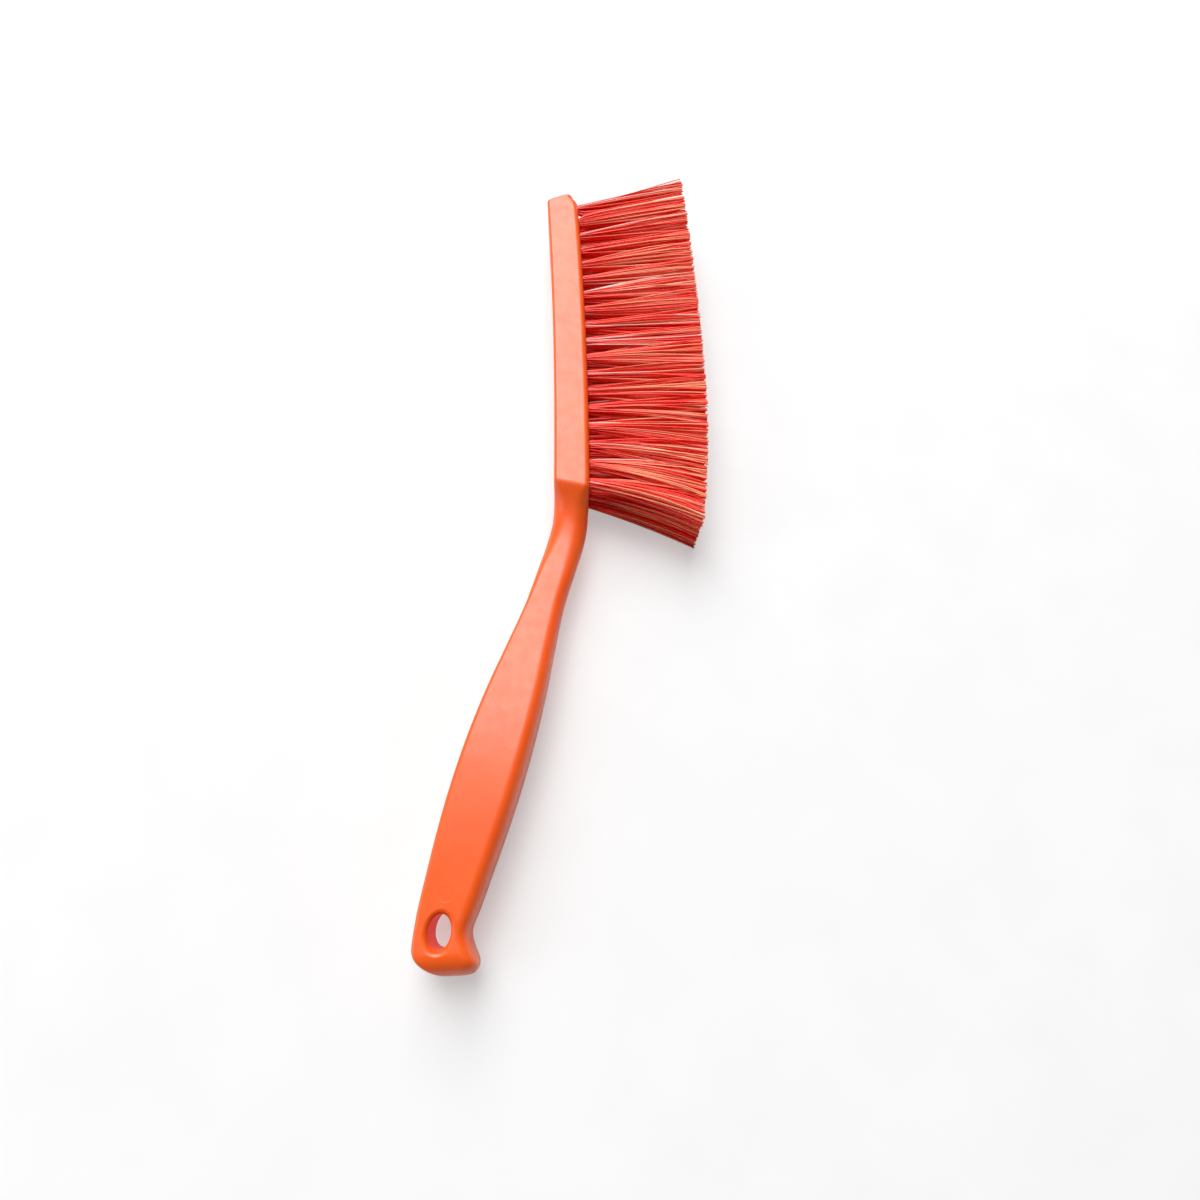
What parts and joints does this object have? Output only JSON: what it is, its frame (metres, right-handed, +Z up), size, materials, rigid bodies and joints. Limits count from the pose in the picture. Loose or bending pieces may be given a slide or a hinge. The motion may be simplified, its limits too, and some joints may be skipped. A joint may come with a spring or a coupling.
{
  "type": "bakery brush",
  "caption": "Hand brush moulded in one piece: slim bowed head with fanned bristle tufts, cranked neck, swelling grip and an oval hanging hole beside a hooked end.",
  "frame": {"origin": "middle of the underside of the whole brush as it lies on its side: the middle of its box in X and Y, at the lowest face in Z", "axes": "+Y along the head towards its tip, +X the way the bristles point, +Z up through the width of the head"},
  "size_m": [0.1128, 0.3328, 0.026],
  "materials": {
    "body_plastic": "satin moulded polypropylene, bright orange",
    "bristle_filament": "glossy, slightly clear polyester filament, red-orange"
  },
  "bodies": {
    "root": {"handle_block": "body_plastic", "tuft_1_01": "bristle_filament", "tuft_1_02": "bristle_filament", "tuft_1_03": "bristle_filament", "tuft_1_04": "bristle_filament", "tuft_1_05": "bristle_filament", "tuft_1_06": "bristle_filament", "tuft_1_07": "bristle_filament", "tuft_1_08": "bristle_filament", "tuft_1_09": "bristle_filament", "tuft_1_10": "bristle_filament", "tuft_1_11": "bristle_filament", "tuft_1_12": "bristle_filament", "tuft_1_13": "bristle_filament", "tuft_1_14": "bristle_filament", "tuft_1_15": "bristle_filament", "tuft_1_16": "bristle_filament", "tuft_1_17": "bristle_filament", "tuft_1_18": "bristle_filament", "tuft_2_01": "bristle_filament", "tuft_2_02": "bristle_filament", "tuft_2_03": "bristle_filament", "tuft_2_04": "bristle_filament", "tuft_2_05": "bristle_filament", "tuft_2_06": "bristle_filament", "tuft_2_07": "bristle_filament", "tuft_2_08": "bristle_filament", "tuft_2_09": "bristle_filament", "tuft_2_10": "bristle_filament", "tuft_2_11": "bristle_filament", "tuft_2_12": "bristle_filament", "tuft_2_13": "bristle_filament", "tuft_2_14": "bristle_filament", "tuft_2_15": "bristle_filament", "tuft_2_16": "bristle_filament", "tuft_2_17": "bristle_filament", "tuft_2_18": "bristle_filament", "tuft_3_01": "bristle_filament", "tuft_3_02": "bristle_filament", "tuft_3_03": "bristle_filament", "tuft_3_04": "bristle_filament", "tuft_3_05": "bristle_filament", "tuft_3_06": "bristle_filament", "tuft_3_07": "bristle_filament", "tuft_3_08": "bristle_filament", "tuft_3_09": "bristle_filament", "tuft_3_10": "bristle_filament", "tuft_3_11": "bristle_filament", "tuft_3_12": "bristle_filament", "tuft_3_13": "bristle_filament", "tuft_3_14": "bristle_filament", "tuft_3_15": "bristle_filament", "tuft_3_16": "bristle_filament", "tuft_3_17": "bristle_filament", "tuft_3_18": "bristle_filament"}
  },
  "joints": []
}
